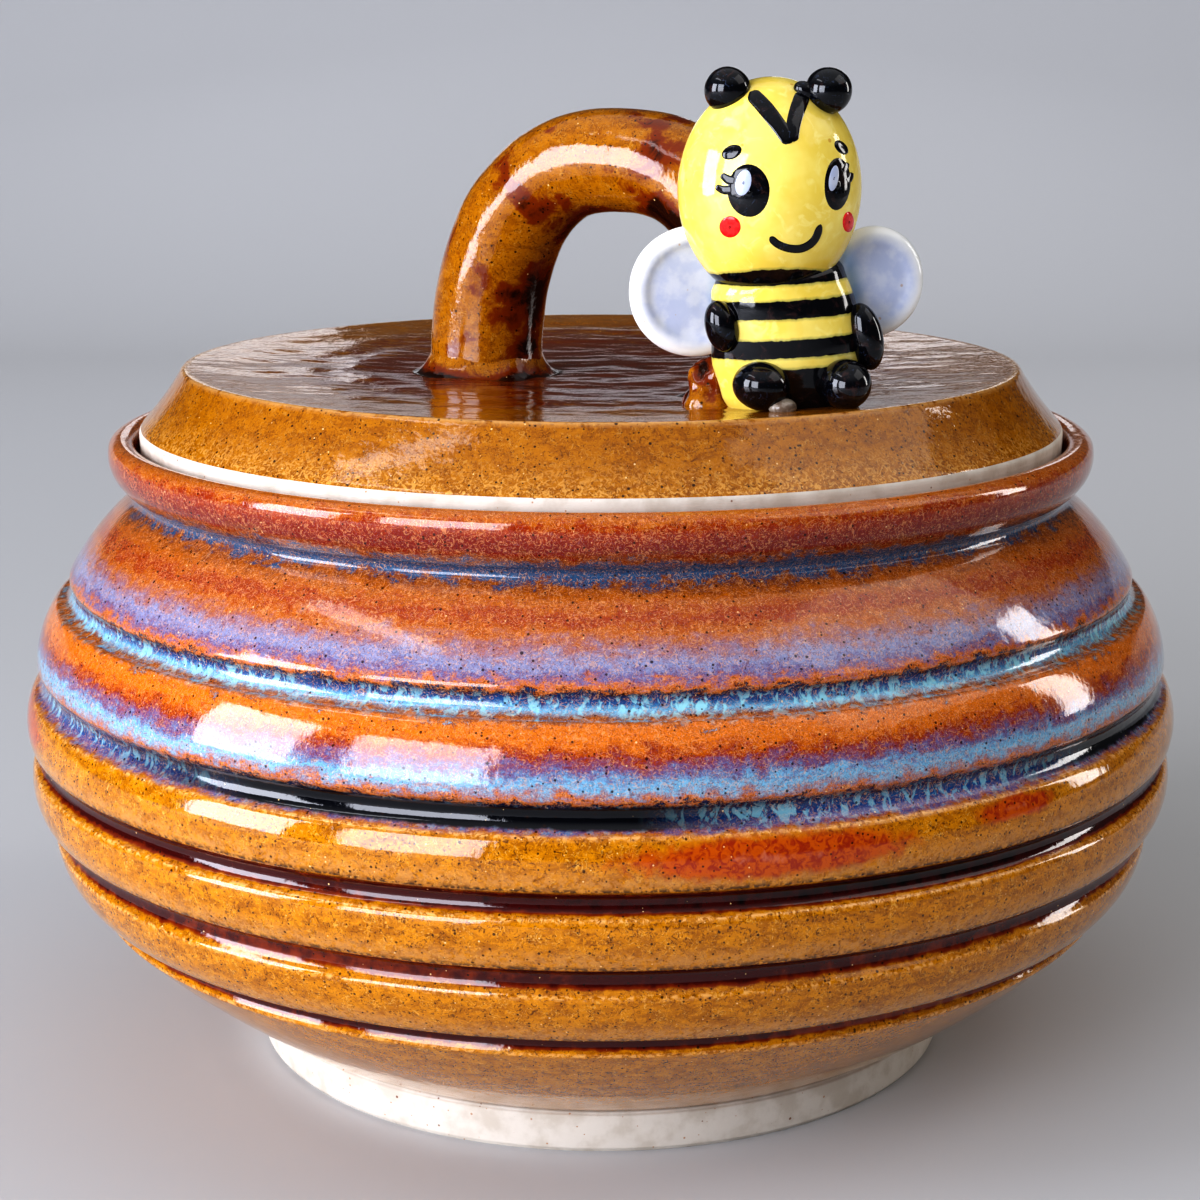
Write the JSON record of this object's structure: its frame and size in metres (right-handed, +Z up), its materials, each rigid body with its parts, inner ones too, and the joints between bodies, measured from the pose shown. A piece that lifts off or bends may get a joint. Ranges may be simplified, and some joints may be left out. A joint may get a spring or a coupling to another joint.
{
  "type": "cookie jar",
  "caption": "Wide ribbed stoneware jar with a foot ring, a gallery rim and a dished lift-off lid that carries an arched handle and a small modelled bee.",
  "frame": {"origin": "centre of the foot ring, on the surface that the jar stands on", "axes": "+Z up along the jar's turning axis, -Y towards the front that the bee faces, +X to the viewer's right"},
  "size_m": [0.279, 0.279, 0.2364],
  "materials": {
    "floating_glaze": "glossy amber glaze that breaks to rust, lilac and blue",
    "amber_glaze": "glossy speckled amber glaze",
    "bare_clay": "matt bare stoneware",
    "yellow_glaze": "glossy yellow glaze",
    "black_glaze": "glossy black glaze",
    "white_glaze": "glossy bluish white glaze"
  },
  "bodies": {
    "jar": {"jar_body": "floating_glaze", "foot_ring": "bare_clay"},
    "lid": {"lid_shell": "amber_glaze", "handle_arch": "amber_glaze", "handle_collar_left": "amber_glaze", "handle_collar_right": "amber_glaze", "bee_head": "yellow_glaze", "bee_torso": "yellow_glaze", "bee_wing_left": "white_glaze", "bee_wing_right": "white_glaze", "bee_antenna_left": "black_glaze", "bee_antenna_right": "black_glaze", "bee_arm_left": "black_glaze", "bee_arm_right": "black_glaze", "bee_foot_left": "black_glaze", "bee_foot_right": "black_glaze", "bee_seat_pad": "white_glaze"}
  },
  "joints": [
    {"name": "lid_lift", "type": "slide", "parent": "jar", "child": "lid", "axis": [0, 0, 1], "range_m": [0, 0.12]}
  ]
}
